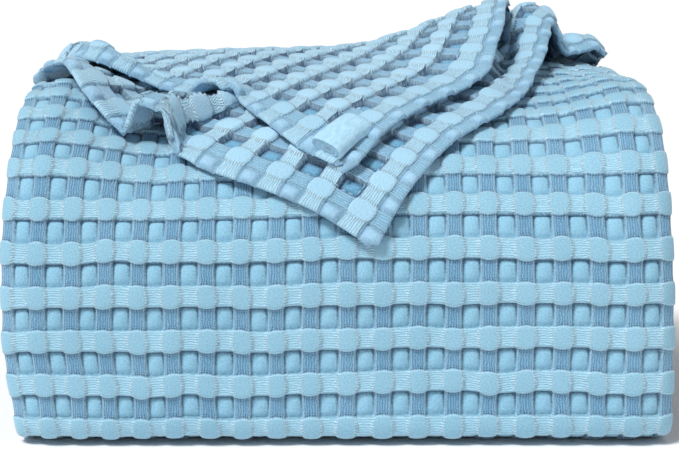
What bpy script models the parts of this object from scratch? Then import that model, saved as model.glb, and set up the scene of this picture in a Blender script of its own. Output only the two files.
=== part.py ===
"""A folded waffle weave cotton blanket, as one sheet of cloth.

The sheet is doubled, laid back and forth and wrapped once, so that a broad soft fold
faces the front and small folds lie at the back. Its two loose ends come out of the back
on top, one over the other, and both end in a corner that hangs forward.
Sizes are in millimetres in a frame with the front face at y = 0, the floor at z = 0 and
x = 0 in the middle. They become metres at the end.
"""

import math
from bisect import bisect_right

import bmesh
import bpy

NAME = "blanket"

# The stack
WIDTH = 350.0
HEIGHT = 192.0  # in the middle of the top, under the loose ends
FOLDS = 12  # nested front folds, so twice as many layers
SHEET = 4.8  # thickness of the cloth over its relief
NOSE = 85.0  # how far back the front fold reaches before its layers run straight
UPPER_POWER = 2.55  # roundness of the front fold, above the middle
FOOT_POWER = 14.0  # and below, where it turns tightly onto the floor
BACK = 283.0  # where the layers' straight runs end and the back folds start

# How the whole stack leans out of a plain extrusion
CREST = 200.0  # depth of the highest line of the top
FRONT_DROP = 0.22  # share of height lost at the front
BACK_DROP = 0.075
SIDE_TILT = 0.030  # the right side stands a little higher
SHOULDER = 0.012  # share of height lost at both ends of the top
SIDE_ROUND = 20.0  # width of the rounding at each side
SIDE_SETBACK = 11.0  # and how far the front falls back there
LEFT_SPREAD = 8.0  # how far the top leans out at the left
RIPPLE = 0.006

# The loose ends: centre lines above the outside of the stack
LOWER_LIFT = 5.8
UPPER_LIFT = 14.2
MIN_LIFT = 8.5  # between the two sheets, square to them

# From the stack's own frame to the middle of everything, loose ends included
SHIFT_X, SHIFT_Y = 11.7, -147.06

TRIM = 3.0  # how much the inner layers' side edges wander

# Lower loose end: how far along the stack's outside, and where its two hems are there
LOWER_HEMS = (
    # (forward of the back, left hem, right hem)
    (0, -174, 171),
    (30, -180, 173),
    (60, -186, 174),
    (82, -189, 173),
    (91, -189, 162),
    (97, -188, 146),
    (104, -186, 138),
    (126, -178, 127),
    (160, -161, 114),
    (178, -153, 110),
    (208, -144, 98),
    (221, -138, 89),
    (232, -127, 78),
    (241, -95, 67),
    (248, -86, 59),
    (255, -79, 53),
    (264, -56, 45),
    (273, -37, 38),
    (279, -26, 33),
    (285, -15, 30),
    (291, -7, 26),
    (298, 2, 23),
    (305, 11, 19),
)

# Upper loose end, in the same way
UPPER_HEMS = (
    # (forward of the back, left hem, right hem)
    (0, -168, 171),
    (18, -171, 162),
    (42, -174, 126),
    (75, -175, 116),
    (92, -174, 112),
    (104, -172, 109),
    (131, -165, 103),
    (150, -156, 96),
    (164, -141, 91),
    (173, -116, 88),
    (185, -102, 84),
    (196, -88, 76),
    (203, -63, 69),
    (211, -57, 60),
    (219, -52, 51),
    (230, -43, 40),
    (243, -32, 24),
    (253, -22, 16),
    (259, -10, 11),
    (264, -2, 7),
)

# The swell of both loose ends at the right of the top
SWELL = 24.0
SWELL_ACROSS = (
    # (x, share of the swell)
    (-20, 0.0),
    (10, 0.04),
    (30, 0.20),
    (52, 0.42),
    (71, 0.70),
    (90, 0.97),
    (110, 1.0),
    (123, 0.75),
    (135, 0.35),
    (150, 0.06),
    (175, 0.0),
)
SWELL_ALONG = (
    # (forward of the back, share of the swell)
    (0, 0.0),
    (30, 0.4),
    (60, 0.85),
    (85, 1.0),
    (105, 1.0),
    (130, 0.86),
    (150, 0.70),
    (168, 0.50),
    (190, 0.22),
    (212, 0.0),
)

# The pleat that the lower end's right hem makes beside the upper end
PLEAT = (
    # (forward of the back, x of its ridge, height of the ridge)
    (0, 142, 0.0),
    (30, 141, 2.0),
    (60, 139, 12.0),
    (80, 138, 18.0),
    (100, 134, 20.0),
    (126, 122, 17.0),
    (150, 113, 10.0),
    (178, 105, 3.0),
    (205, 96, 0.0),
)
PLEAT_INNER, PLEAT_OUTER = 20.0, 9.5
VALLEY_START, VALLEY_END = 78.0, 100.0  # x over which the lower end falls beside it

# The pinched tent in the lower end's left hem, from the hem inwards
TENT = (
    # (forward of the back, x of its ridge, height of the ridge)
    (180, -52, 0.0),
    (194, -66, 2.0),
    (203, -80, 6.0),
    (213, -91, 13.0),
    (223, -98, 18.0),
    (234, -104, 19.0),
    (246, -107, 18.0),
)
TENT_HALF = 12.5
TENT_PULL = 5.0  # how far the hem draws back as it rises

# Where the left hem stands clear of the stack beyond the tent
HEM_RISE = (
    # (x, height)
    (-190, -5.0),
    (-178, 7.0),
    (-170, 9.0),
    (-150, 9.0),
    (-134, 6.0),
    (-117, 0.0),
)
HEM_RISE_FADE = 55.0
ROLL = 7.0  # the lower end's thicker, rolled hem at the right of the top
ROLL_START, ROLL_MIDDLE, ROLL_REACH = 141.0, 78.0, 48.0
CURL = 8.0  # the upper end's left hem, above the lower end
CURL_FADE = 24.0

COLUMNS = (-1.0, -0.96, -0.88, -0.34, 0.34, 0.88, 0.96, 1.0)
CROWD = 0.085  # how much the loose ends' columns crowd towards both hems
SPLITS = 3  # of each column, on the loose ends
FOLD_ROWS = 12  # of a front fold. The inner ones have half as many
FINE_FOLDS = 5
RUN_ROWS = (198.0,)  # depths of the stations on the straight runs
RUN_ROWS_OUTER = (142.0, 198.0, 245.0)


def table(rows, at, column=1):
    """Value of a column of a table at a place between its rows."""
    places = [row[0] for row in rows]
    if at <= places[0]:
        return rows[0][column]
    if at >= places[-1]:
        return rows[-1][column]
    k = bisect_right(places, at) - 1
    share = (at - places[k]) / (places[k + 1] - places[k])
    return rows[k][column] * (1 - share) + rows[k + 1][column] * share


def smooth(rows, at, column=1, reach=5.0):
    return (
        table(rows, at - reach, column)
        + 2 * table(rows, at, column)
        + table(rows, at + reach, column)
    ) / 4


def ease(value):
    value = min(max(value, 0.0), 1.0)
    return value * value * (3 - 2 * value)


def quarter(width, height, power, steps):
    """Points of one rounded corner, from its side up to its top."""
    points = []
    for k in range(steps + 1):
        turn = math.pi / 2 * k / steps
        across = math.cos(turn) ** (2 / power) if k < steps else 0.0
        points.append((width * across, height * math.sin(turn) ** (2 / power)))
    return points


def length_marks(points):
    marks = [0.0]
    for a, b in zip(points, points[1:]):
        marks.append(marks[-1] + math.dist(a, b))
    return marks


def at_mark(points, marks, mark):
    mark = min(max(mark, 0.0), marks[-1])
    k = min(bisect_right(marks, mark), len(marks) - 1)
    span = marks[k] - marks[k - 1]
    share = (mark - marks[k - 1]) / span if span else 0.0
    return tuple(a * (1 - share) + b * share for a, b in zip(points[k - 1], points[k]))


def spread(points, count, bend_weight):
    """Places of `count` steps along a line, closer together where it bends."""
    marks = [0.0]
    heading = None
    for a, b in zip(points, points[1:]):
        turn = math.atan2(b[1] - a[1], b[0] - a[0])
        bend = 0.0
        if heading is not None:
            bend = abs((turn - heading + math.pi) % (2 * math.pi) - math.pi)
        heading = turn
        marks.append(marks[-1] + math.dist(a, b) + bend_weight * bend)
    places = []
    for k in range(count + 1):
        mark = marks[-1] * k / count
        below = min(bisect_right(marks, mark), len(marks) - 1) - 1
        places.append(below + (mark - marks[below]) / (marks[below + 1] - marks[below]))
    return places


def at_place(points, place):
    k = min(int(place), len(points) - 2)
    share = place - k
    return tuple(a * (1 - share) + b * share for a, b in zip(points[k], points[k + 1]))


# --- the section of the stack -------------------------------------------------

PITCH = (HEIGHT - SHEET) / (2 * FOLDS - 1)


def fold_half(level):
    """Half height and depth of a nested front fold. Level 1 is the outermost."""
    share = (FOLDS - level + 0.5) / (FOLDS - 0.5)
    return share, (NOSE - SHEET / 2) * share, (HEIGHT - SHEET) / 2 * share


def fold_line(level):
    """Centre line of a nested front fold, from the bottom to the top."""
    share, depth, half = fold_half(level)
    upper = 2 + (UPPER_POWER - 2) * share
    foot = 2 + (FOOT_POWER - 2) * share
    low = [(NOSE - a, HEIGHT / 2 - b) for a, b in quarter(depth, half, foot, 60)]
    top = [(NOSE - a, HEIGHT / 2 + b) for a, b in quarter(depth, half, upper, 60)]
    return low[::-1] + top[1:]


FOLD_PLACES = spread(fold_line(1), FOLD_ROWS, 40.0)


def front_fold(level):
    """Stations of a front fold. Nested folds have them side by side."""
    places = FOLD_PLACES if level <= FINE_FOLDS else FOLD_PLACES[::2]
    line = fold_line(level)
    return [at_place(line, place) for place in places]


def layer_height(layer):
    """Height of a layer's centre line, counted from the floor. The ends on top go on."""
    return SHEET / 2 + PITCH * (layer - 1)


def back_fold(first, second, setback):
    """Centre line of a back fold between two layers, from the first to the second."""
    low, high = layer_height(first), layer_height(second)
    middle, radius = (low + high) / 2, abs(high - low) / 2
    steps = 4 if radius < PITCH else 6
    side = 1 if high > low else -1
    points = []
    for k in range(steps + 1):
        turn = math.pi * (k / steps - 0.5)
        points.append(
            (
                BACK - setback + radius * 0.92 * math.cos(turn),
                middle + side * radius * math.sin(turn),
            )
        )
    return points


def layer_run(level):
    """The front fold with its two straight runs, from the bottom back to the top back."""
    fold = front_fold(level)
    low, high = fold[0][1], fold[-1][1]
    run = RUN_ROWS_OUTER if level <= 2 else RUN_ROWS
    return [(y, low) for y in run[::-1]] + fold + [(y, high) for y in run]


# Nested folds in the order in which the sheet runs through them, the direction in each,
# and the layer that it leaves for the next, with the fold's setback at the back.
ROUTE = (
    # (level, upwards, layers joined after it, setback)
    (1, False, (1, 4), 3.0),
    (4, True, (21, 20), 1.5),
    (5, False, (5, 8), 0.0),
    (8, True, (17, 16), 4.0),
    (9, False, (9, 12), 2.0),
    (12, True, (13, 14), 9.0),
    (11, False, (11, 10), 2.0),
    (10, True, (15, 18), 4.0),
    (7, False, (7, 6), 0.0),
    (6, True, (19, 22), 1.5),
    (3, False, (3, 2), 3.0),
    (2, True, None, 0.0),
)


def body_path():
    """Stations (y, z, level) from the lower loose end's start to the upper one's."""
    stations = [(y, z, 1.0) for y, z in back_fold(25, 24, 0.0)[1:]]
    for level, upwards, joined, setback in ROUTE:
        run = layer_run(level) if upwards else layer_run(level)[::-1]
        stations += [(y, z, float(level)) for y, z in run]
        if joined:
            stations += [(y, z, level + 0.5) for y, z in back_fold(*joined, setback)]
    stations += [(y, z, 2.0) for y, z in back_fold(23, 26, 0.0)[:-1]]
    return stations


# --- the outside of the stack, on which the loose ends lie ---------------------


def outside():
    """Line over the outside, from the back of the top forward and down the front."""
    top = quarter(NOSE, HEIGHT / 2, UPPER_POWER, 200)[::-1]
    foot = quarter(NOSE, HEIGHT / 2, FOOT_POWER, 200)
    points = [(BACK, HEIGHT)]
    points += [(NOSE - a, HEIGHT / 2 + b) for a, b in top]
    points += [(NOSE - a, HEIGHT / 2 - b) for a, b in foot[1:]]
    return points


OUTSIDE = outside()
OUTSIDE_MARKS = length_marks(OUTSIDE)


def on_outside(along, lift):
    """Point at a distance along the outside and a lift off it."""
    y, z = at_mark(OUTSIDE, OUTSIDE_MARKS, along)
    before = at_mark(OUTSIDE, OUTSIDE_MARKS, along - 6)
    after = at_mark(OUTSIDE, OUTSIDE_MARKS, along + 6)
    run, fall = after[0] - before[0], after[1] - before[1]
    size = math.hypot(run, fall)
    return y + lift * fall / size, z - lift * run / size


def swell(x, along):
    return SWELL * smooth(SWELL_ACROSS, x) * smooth(SWELL_ALONG, along)


def ridge(rows, inner, outer, x, along):
    """Height of a pinched ridge whose line and height are given by a table."""
    height = smooth(rows, along, 2)
    off = x - smooth(rows, along, 1)
    off = off / outer if off > 0 else -off / inner
    if off >= 1.6 or height <= 0:
        return 0.0
    return height * (0.15 * max(0.0, 1 - off) + 0.85 * (1 - ease(off / 1.6)))


def lower_lift(x, along):
    under = swell(x, along) * (1 - ease((x - VALLEY_START) / (VALLEY_END - VALLEY_START)))
    left = smooth(LOWER_HEMS, along, 1)
    rise = table(HEM_RISE, x) * (1 - ease((x - left) / HEM_RISE_FADE))
    rise *= ease((along - 40) / 60)
    roll = ROLL * ease((x - ROLL_START) / 9)
    roll *= ease(1.5 - abs(along - ROLL_MIDDLE) / ROLL_REACH)
    return (
        LOWER_LIFT
        + under
        + ridge(PLEAT, PLEAT_INNER, PLEAT_OUTER, x, along)
        + ridge(TENT, TENT_HALF, TENT_HALF, x, along)
        + rise
        + roll
    )


def lower_pull(x, along):
    share = ridge(TENT, TENT_HALF, TENT_HALF, x, along) / 20
    return TENT_PULL * share * ease((along - 196) / 38)


def upper_lift(x, along):
    """The upper end rides over the lower one, and is lifted off it at its left hem."""
    reach = 7.0
    ahead, behind = lower_lift(x, along + reach), lower_lift(x, along - reach)
    right, left = lower_lift(x + reach, along), lower_lift(x - reach, along)
    slope = math.hypot(right - left, ahead - behind) / (2 * reach)
    below = max(lower_lift(x, along), ahead, behind, right, left)
    least = below + MIN_LIFT * math.sqrt(1 + min(slope, 1.2) ** 2) - 2.0 * min(slope, 1.0)
    own = UPPER_LIFT + swell(x, along)
    gap = own - least
    lift = least + (gap if gap > 0 else 0.0)
    left = smooth(UPPER_HEMS, along, 1)
    curl = CURL * (1 - ease((x - left) / CURL_FADE)) * ease((along - 60) / 50)
    return lift + curl * (1 - ease((along - 190) / 20))


# --- from the plain section to the leaning stack -------------------------------


def lean(x, y, z):
    """The same smooth shift for every layer, so that none meets another."""
    side = x / (WIDTH / 2)
    front = max(0.0, (CREST - y) / CREST)
    back = max(0.0, (y - CREST) / 100)
    scale = 1 + SIDE_TILT * side - FRONT_DROP * front**1.5 - BACK_DROP * back**2
    scale -= SHOULDER * abs(side) ** 5
    scale += RIPPLE * math.sin(x / 31 + y / 47) + RIPPLE * math.sin(x / 53 - y / 29 + 1)
    edge = (abs(x) - (WIDTH / 2 - SIDE_ROUND)) / SIDE_ROUND
    edge = min(max(edge, 0.0), 1.0) * 0.96
    edge = 1 - math.sqrt(1 - edge * edge)
    ahead = max(0.0, 1 - y / 150) ** 1.5
    wave = 1.6 * math.sin(x / 44 + 0.6) * ahead * ease(z / 30)
    spread = LEFT_SPREAD * max(0.0, -side) ** 3 * ease((z - 100) / 80)
    y += edge * SIDE_SETBACK * ahead + wave
    floor = SHEET / 2  # the bottom layer stays flat
    return x - spread, y, floor + (z - floor) * scale * (1 - 0.025 * edge)


def side_reach(level, row):
    """How far the left and right edges of a layer stand in from the full width."""
    if level <= 1:
        return 0.0, 0.0
    left = TRIM * (0.5 + 0.5 * math.sin(2.3 * level + 0.05 * row))
    right = TRIM * (0.5 + 0.5 * math.sin(1.7 * level - 0.06 * row + 2))
    return left, right


# --- the sheet ------------------------------------------------------------------


LOWER_ROWS = (305, 292, 278, 264, 254, 247, 242, 238, 234, 230, 224, 216, 206, 192)
LOWER_ROWS += (170, 142, 118, 103, 94, 80, 56, 28, 0)
UPPER_ROWS = (0, 35, 66, 90, 106, 128, 150, 166, 178, 190, 199, 207, 220, 233, 246, 256, 264)
BODY_ROWS = body_path()


def column_share(column):
    k = min(int(column), len(COLUMNS) - 2)
    return COLUMNS[k] + (COLUMNS[k + 1] - COLUMNS[k]) * (column - k)


def flap_point(rows, hems, lift_of, column, row):
    k = min(int(row), len(rows) - 2)
    along = rows[k] + (rows[k + 1] - rows[k]) * (row - k)
    left, right = smooth(hems, along, 1), smooth(hems, along, 2)
    even = column / (len(COLUMNS) - 1)
    even = 2 * (even - CROWD * math.sin(2 * math.pi * even)) - 1
    share = (even + (column_share(column) - even) * ease(1 - along / 40) + 1) / 2
    x = left + (right - left) * share
    pull = lower_pull(x, along) if lift_of is lower_lift else 0.0
    y, z = on_outside(along - pull, lift_of(x, along))
    return x, y, z


def body_point(column, row):
    y, z, level = BODY_ROWS[round(row)]
    share = column_share(column)
    x, y, z = lean(share * WIDTH / 2, y, z)
    left, right = side_reach(level, row)
    trim = (left if share < 0 else -right) * abs(share) * ease((y - 60) / 80)
    return x + trim, y, z


def place(column, row):
    """Point of the sheet at a column and row of its grid."""
    body_start = len(LOWER_ROWS)
    upper_start = body_start + len(BODY_ROWS)
    if row <= body_start - 1:
        return lean(*flap_point(LOWER_ROWS, LOWER_HEMS, lower_lift, column, row))
    if row < upper_start:
        return body_point(column, row - body_start)
    row -= upper_start
    return lean(*flap_point(UPPER_ROWS, UPPER_HEMS, upper_lift, column, row))


def sheet_mesh():
    columns = len(COLUMNS) - 1
    rows = len(LOWER_ROWS) + len(BODY_ROWS) + len(UPPER_ROWS) - 1
    mesh = bmesh.new()
    bmesh.ops.create_grid(mesh, x_segments=columns, y_segments=rows, size=1.0)
    for vertex in mesh.verts:
        vertex.co.x = (vertex.co.x + 1) / 2 * columns
        vertex.co.y = (vertex.co.y + 1) / 2 * rows
    last_lower = len(LOWER_ROWS) - 1 + 0.01
    first_upper = len(LOWER_ROWS) + len(BODY_ROWS) - 0.01
    across = [
        edge
        for edge in mesh.edges
        if abs(edge.verts[0].co.y - edge.verts[1].co.y) < 0.01
        and not last_lower < edge.verts[0].co.y < first_upper
    ]
    bmesh.ops.subdivide_edges(mesh, edges=across, cuts=SPLITS - 1, use_grid_fill=True)
    for vertex in mesh.verts:
        x, y, z = place(vertex.co.x, vertex.co.y)
        vertex.co = ((x + SHIFT_X) / 1000, (y + SHIFT_Y) / 1000, z / 1000)
    return mesh


def cotton():
    material = bpy.data.materials.new("cotton")
    material.use_nodes = True
    shader = material.node_tree.nodes["Principled BSDF"]
    shader.inputs["Base Color"].default_value = (0.27, 0.53, 0.70, 1.0)
    shader.inputs["Roughness"].default_value = 0.9
    return material


def build():
    for obj in list(bpy.data.objects):
        bpy.data.objects.remove(obj)
    parts = bpy.data.collections.new("waffle_blanket")
    bpy.context.scene.collection.children.link(parts)
    mesh = sheet_mesh()
    data = bpy.data.meshes.new(NAME)
    mesh.to_mesh(data)
    mesh.free()
    data.materials.append(cotton())
    blanket = bpy.data.objects.new(NAME, data)
    parts.objects.link(blanket)
    thick = blanket.modifiers.new("sheet", "SOLIDIFY")
    thick.thickness = SHEET / 1000
    thick.offset = 0.0
    thick.use_even_offset = True
    thick.use_quality_normals = True
    return blanket


build()
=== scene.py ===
"""Looks of a folded waffle weave cotton blanket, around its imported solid.

Each stretch of the cloth is a thin sheet with the weave's real relief on it: pads, two
kinds of floats between them, and pockets. The wrap is the outermost fold, the layers are
those inside it, and the loose ends lie on top, their corners forward and their weave
along their hems. Sizes are in millimetres, in a frame with the front face at y = 0, the
floor at z = 0 and x = 0 in the middle of the stack, and become metres in each mesh.
"""

import math

import bpy
import numpy as np
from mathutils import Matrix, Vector
from mathutils.bvhtree import BVHTree


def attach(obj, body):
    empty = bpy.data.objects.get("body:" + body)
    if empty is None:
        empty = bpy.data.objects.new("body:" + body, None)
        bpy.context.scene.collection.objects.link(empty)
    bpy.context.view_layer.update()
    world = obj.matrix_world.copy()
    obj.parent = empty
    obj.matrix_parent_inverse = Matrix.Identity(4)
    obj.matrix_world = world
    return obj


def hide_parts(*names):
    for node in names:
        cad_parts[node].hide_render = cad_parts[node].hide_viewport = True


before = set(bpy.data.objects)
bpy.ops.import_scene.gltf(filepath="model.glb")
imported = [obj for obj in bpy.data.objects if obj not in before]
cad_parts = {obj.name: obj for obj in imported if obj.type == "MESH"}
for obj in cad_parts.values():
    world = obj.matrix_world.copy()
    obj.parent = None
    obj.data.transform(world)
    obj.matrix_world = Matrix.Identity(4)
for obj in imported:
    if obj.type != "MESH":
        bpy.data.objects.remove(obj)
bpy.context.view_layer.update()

# --- the stack, as in the solid but for its sides and shoulders ---

WIDTH, HEIGHT = 350.0, 192.0
FOLDS = 12  # nested front folds, so twice as many layers
SHEET = 4.8  # thickness of the solid's cloth
NOSE = 85.0  # how far back the front fold reaches before its layers run straight
UPPER_POWER, FOOT_POWER = 2.55, 14.0  # roundness of the front fold, above and below
BACK = 283.0  # where the layers' straight runs end and the back folds start
PITCH = (HEIGHT - SHEET) / (2 * FOLDS - 1)
CREST, BEHIND_CREST = 200.0, 100.0  # depth of the top's highest line, and of its fall
FRONT_DROP, BACK_DROP = 0.22, 0.075  # share of height lost there
SIDE_TILT, SHOULDER = 0.030, 0.012
SIDE_ROUND, SIDE_SETBACK = 20.0, 11.0
RIPPLE = 0.006
AHEAD = 150.0  # depth in which the front's unevenness fades out
WAVE, WAVE_LENGTH = 1.6, 44.0
# The left side stands outwards, the right one a little inwards, and the shoulders above
# the rest of the top. The pairs are where that starts and is full, or where it fades out
LEFT_SPREAD, RIGHT_SPREAD = 6.0, -2.0
LEFT_SPREAD_UP, LEFT_SPREAD_TOP, RIGHT_SPREAD_UP = (5, 80), (135, 190), (70, 160)
LEFT_RISE, RIGHT_RISE = 20.0, 8.0
LEFT_RISE_ACROSS, RIGHT_RISE_ACROSS = (100, 160), (115, 160)
RISE_UP, RISE_BACK = (125, 187), (90, 170)
SHIFT_X, SHIFT_Y = 11.7, -147.06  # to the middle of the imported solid
TRIM, TRIM_BACK = 3.0, (60, 140)  # how much the inner layers' side edges wander

# --- the weave ---

CELL_ACROSS, CELL_ALONG = 19.0, 23.7  # one repeat: a pad, its floats and a pocket
RELIEF = 2.1  # from the middle of the cloth to a pad or a pocket's rim
LOOSE_RELIEF = 3.4  # where the cloth lies loose and isn't drawn flat
CLOTH = 1.5  # thickness of the cloth itself
WALL_START, WALL_END = 0.250, 0.285  # the step from a pad or a float to its neighbour
# Mesh lines in half a repeat: for the cloth in view, across the wrap, for the layers
# and the wrap's covered top, and for the underside
FINE_LINES = (0.0, 0.11, 0.19, 0.25, 0.285, 0.33, 0.40, 0.5)
WRAP_COLUMNS = (0.0, 0.11, 0.19, 0.25, 0.285, 0.36, 0.5)
PLAIN_LINES = (0.2, 0.3)
FOOT_LINES = (0.0, 0.22, 0.3, 0.5)
PAD_HEIGHT, CROSS_HEIGHT, ALONG_HEIGHT, POCKET_HEIGHT = 0.66, 0.36, 0.10, -1.0
PAD_DOME, CROSS_SAG, ALONG_SAG, POCKET_DOME = 0.34, 0.12, 0.16, 0.80
LOOSE_POCKET_DOME = 0.35
PAD_WIDER, FLOAT_NARROWER = 0.100, 0.034  # how far pads' sides stand out, in repeats
PAD_LONGER, FLOAT_SHORTER = 0.045, 0.034
HALF_POCKET = 0.215  # of its width and length
PAD_REACH, FULL_REACH = 0.28, 0.27  # where a pad's dome and its full sides end
ROW_STRAY, COLUMN_STRAY = 1.1, 0.9  # how far rows and columns run out of line
UNEVEN, UNEVEN_PITCH = 0.25, 1.7  # of the relief: its height, and swells in a repeat
WEAVE_ORIGIN = 40  # added to the stack's places: only a loose end has places near 0


def ease(value):
    value = np.clip(value, 0.0, 1.0)
    return value * value * (3 - 2 * value)


def ramp(value, start, end):
    """Rises smoothly from 0 at start to 1 at end."""
    return ease((value - start) / (end - start))


def table(rows, at, column=1):
    rows = np.array(rows, float)
    return np.interp(at, rows[:, 0], rows[:, column])


def smooth(rows, at, column=1, reach=6.0):
    """A table's column with its corners rounded."""
    taps = ((-1, 1), (-0.5, 2), (0, 3), (0.5, 2), (1, 1))
    return sum(share * table(rows, at + tap * reach, column) for tap, share in taps) / 9


NOISE = np.random.default_rng(7).uniform(-1, 1, (8, 64, 64))


def noise(u, v, layer):
    """Smooth values from -1 to 1 that change over about one unit."""
    values = NOISE[layer]
    column, row = np.floor(u).astype(int), np.floor(v).astype(int)
    across, along = ease(u - column), ease(v - row)
    column, row = column % 64, row % 64
    right, above = (column + 1) % 64, (row + 1) % 64
    low = values[row, column] * (1 - across) + values[row, right] * across
    high = values[above, column] * (1 - across) + values[above, right] * across
    return low * (1 - along) + high * along


def uneven(u, v, layer):
    """The small swells of the relief, in millimetres."""
    return UNEVEN * noise(u * UNEVEN_PITCH, v * UNEVEN_PITCH, layer)


def from_pad(place):
    """Signed distance from the nearest pad's middle, in repeats."""
    return place - np.round(place)


def arch(place):
    """1 in the middle, falling in a curve to 0 at a distance of 1."""
    return np.clip(1 - place**2, 0, 1)


def rounding(u, v):
    """How far the weave's places move, so that pads and pockets have full, round sides."""

    def reach(place):
        off = np.abs(place)
        share = np.minimum(off / WALL_START, (0.5 - off) / HALF_POCKET)
        return np.sign(place) * np.clip(share, 0, 1)

    cu, cv = from_pad(u), from_pad(v)
    wider = PAD_WIDER * arch(cv / FULL_REACH) ** 0.8 - FLOAT_NARROWER
    longer = PAD_LONGER * arch(cu / FULL_REACH) - FLOAT_SHORTER
    return reach(cu) * wider, reach(cv) * longer


def relief(u, v, pocket_dome=POCKET_DOME):
    """Height of the weave from -1 to 1 at weave places u across and v along."""
    cu, cv = from_pad(u), from_pad(v)
    pad_u = 1 - ramp(np.abs(cu), WALL_START, WALL_END)
    pad_v = 1 - ramp(np.abs(cv), WALL_START, WALL_END)
    dome = arch(cu / PAD_REACH) * arch(cv / PAD_REACH)
    away_u = np.clip((0.5 - np.abs(cu)) / (0.5 - WALL_END), 0, 1)
    away_v = np.clip((0.5 - np.abs(cv)) / (0.5 - WALL_END), 0, 1)
    pad = PAD_HEIGHT + PAD_DOME * np.sqrt(dome)
    cross = CROSS_HEIGHT - CROSS_SAG * (1 - away_u**2)
    along = ALONG_HEIGHT - ALONG_SAG * (1 - away_v**2)
    pocket = POCKET_HEIGHT + pocket_dome * (1 - away_u**4) * (1 - away_v**4)
    return (
        pad * pad_u * pad_v
        + cross * (1 - pad_u) * pad_v
        + along * pad_u * (1 - pad_v)
        + pocket * (1 - pad_u) * (1 - pad_v)
    )


def weave_lines(start, end, half):
    """Places of the mesh lines over a stretch of the weave, in repeats."""
    whole = sorted({*half, *(-place for place in half if place < 0.5)})
    first, last = math.floor(start) - 1, math.ceil(end) + 1
    places = [pad + place for pad in range(first, last + 1) for place in whole]
    inside = [place for place in places if start + 0.02 < place < end - 0.02]
    return np.array([start, *inside, end])


# --- from the plain section to the leaning stack ---


def lean(x, y, z):
    """The same smooth shift for every layer, from the plain section to the real stack."""
    side = x / (WIDTH / 2)
    front = np.maximum(0.0, (CREST - y) / CREST)
    back = np.maximum(0.0, (y - CREST) / BEHIND_CREST)
    scale = 1 + SIDE_TILT * side - FRONT_DROP * front**1.5 - BACK_DROP * back**2
    scale = scale - SHOULDER * np.abs(side) ** 5
    scale = scale + RIPPLE * np.sin(x / 31 + y / 47) + RIPPLE * np.sin(x / 53 - y / 29 + 1)
    edge = np.clip((np.abs(x) - (WIDTH / 2 - SIDE_ROUND)) / SIDE_ROUND, 0, 1) * 0.96
    edge = 1 - np.sqrt(1 - edge * edge)
    ahead = np.maximum(0.0, 1 - y / AHEAD) ** 1.5
    wave = WAVE * np.sin(x / WAVE_LENGTH + 0.6) * ahead * ease(z / 30)
    left = LEFT_SPREAD * np.maximum(0.0, -side) ** 3 * ramp(z, *LEFT_SPREAD_UP)
    left = left * (1 - 0.5 * ramp(z, *LEFT_SPREAD_TOP))
    right = RIGHT_SPREAD * np.maximum(0.0, side) ** 3 * ramp(z, *RIGHT_SPREAD_UP)
    rise = LEFT_RISE * ramp(-x, *LEFT_RISE_ACROSS) + RIGHT_RISE * ramp(x, *RIGHT_RISE_ACROSS)
    rise = rise * ramp(z, *RISE_UP) * (1 - ramp(y, *RISE_BACK))
    y = y + edge * SIDE_SETBACK * ahead + wave
    floor = SHEET / 2
    z = floor + (z - floor) * scale * (1 - 0.025 * edge) + rise
    return np.stack([x - left + right, y, z], -1)


# --- the section of the stack ---


def quarter(width, height, power, steps=400):
    turn = np.linspace(0, math.pi / 2, steps + 1)
    across = np.cos(turn)
    across[-1] = 0.0
    return width * across ** (2 / power), height * np.sin(turn) ** (2 / power)


def nose_line(depth, half, foot_power, upper_power):
    """The round front of a fold, from the bottom to the top."""
    low_a, low_b = quarter(depth, half, foot_power)
    top_a, top_b = quarter(depth, half, upper_power)
    low = np.stack([NOSE - low_a, HEIGHT / 2 - low_b], 1)[::-1]
    top = np.stack([NOSE - top_a, HEIGHT / 2 + top_b], 1)[1:]
    return np.concatenate([low, top])


def marks_of(points):
    """Distances of a line's points from its start."""
    steps = np.linalg.norm(np.diff(points, axis=0), axis=1)
    return np.concatenate([[0.0], np.cumsum(steps)])


def points_at(mark, marks, points):
    """The coordinates at distances along a line."""
    return [np.interp(mark, marks, column) for column in points.T]


class Line:
    """A line of the section, by its real length once the stack leans."""

    def __init__(self, points, step=3.0):
        points = np.array(points, float)
        plain = marks_of(points[:, :2])
        places = np.union1d(plain, np.arange(0, plain[-1], step))
        self.points = np.stack(points_at(places, plain, points), 1)
        self.marks = marks_of(self.leaning(0.0))
        self.length = self.marks[-1]

    def leaning(self, x):
        """The line's points in the column at x of the real stack."""
        y, z, _ = self.points.T
        return lean(np.full(len(y), x), y, z)

    def marks_at(self, x, start, lengths):
        """Marks whose real distance from the start, in the column at x, has those values."""
        real = marks_of(self.leaning(x))
        real = real - np.interp(start, self.marks, real)
        return np.interp(lengths, real, self.marks)

    def at(self, mark):
        """Depth, height and level at distances along the line."""
        return points_at(mark, self.marks, self.points)


def fold_line(level):
    """Centre line of a nested front fold, from the bottom to the top."""
    share = (FOLDS - level + 0.5) / (FOLDS - 0.5)
    depth, half = (NOSE - SHEET / 2) * share, (HEIGHT - SHEET) / 2 * share
    powers = (2 + (power - 2) * share for power in (FOOT_POWER, UPPER_POWER))
    return nose_line(depth, half, *powers)


def layer_height(layer):
    return SHEET / 2 + PITCH * (layer - 1)


def back_fold(first, second, setback, steps=24):
    low, high = layer_height(first), layer_height(second)
    middle, radius = (low + high) / 2, abs(high - low) / 2
    turn = np.linspace(-math.pi / 2, math.pi / 2, steps + 1)
    side = 1 if high > low else -1
    depth = BACK - setback + radius * 0.92 * np.cos(turn)
    return np.stack([depth, middle + side * radius * np.sin(turn)], 1)


def with_level(points, level):
    return np.column_stack([points, np.full(len(points), float(level))])


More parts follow.
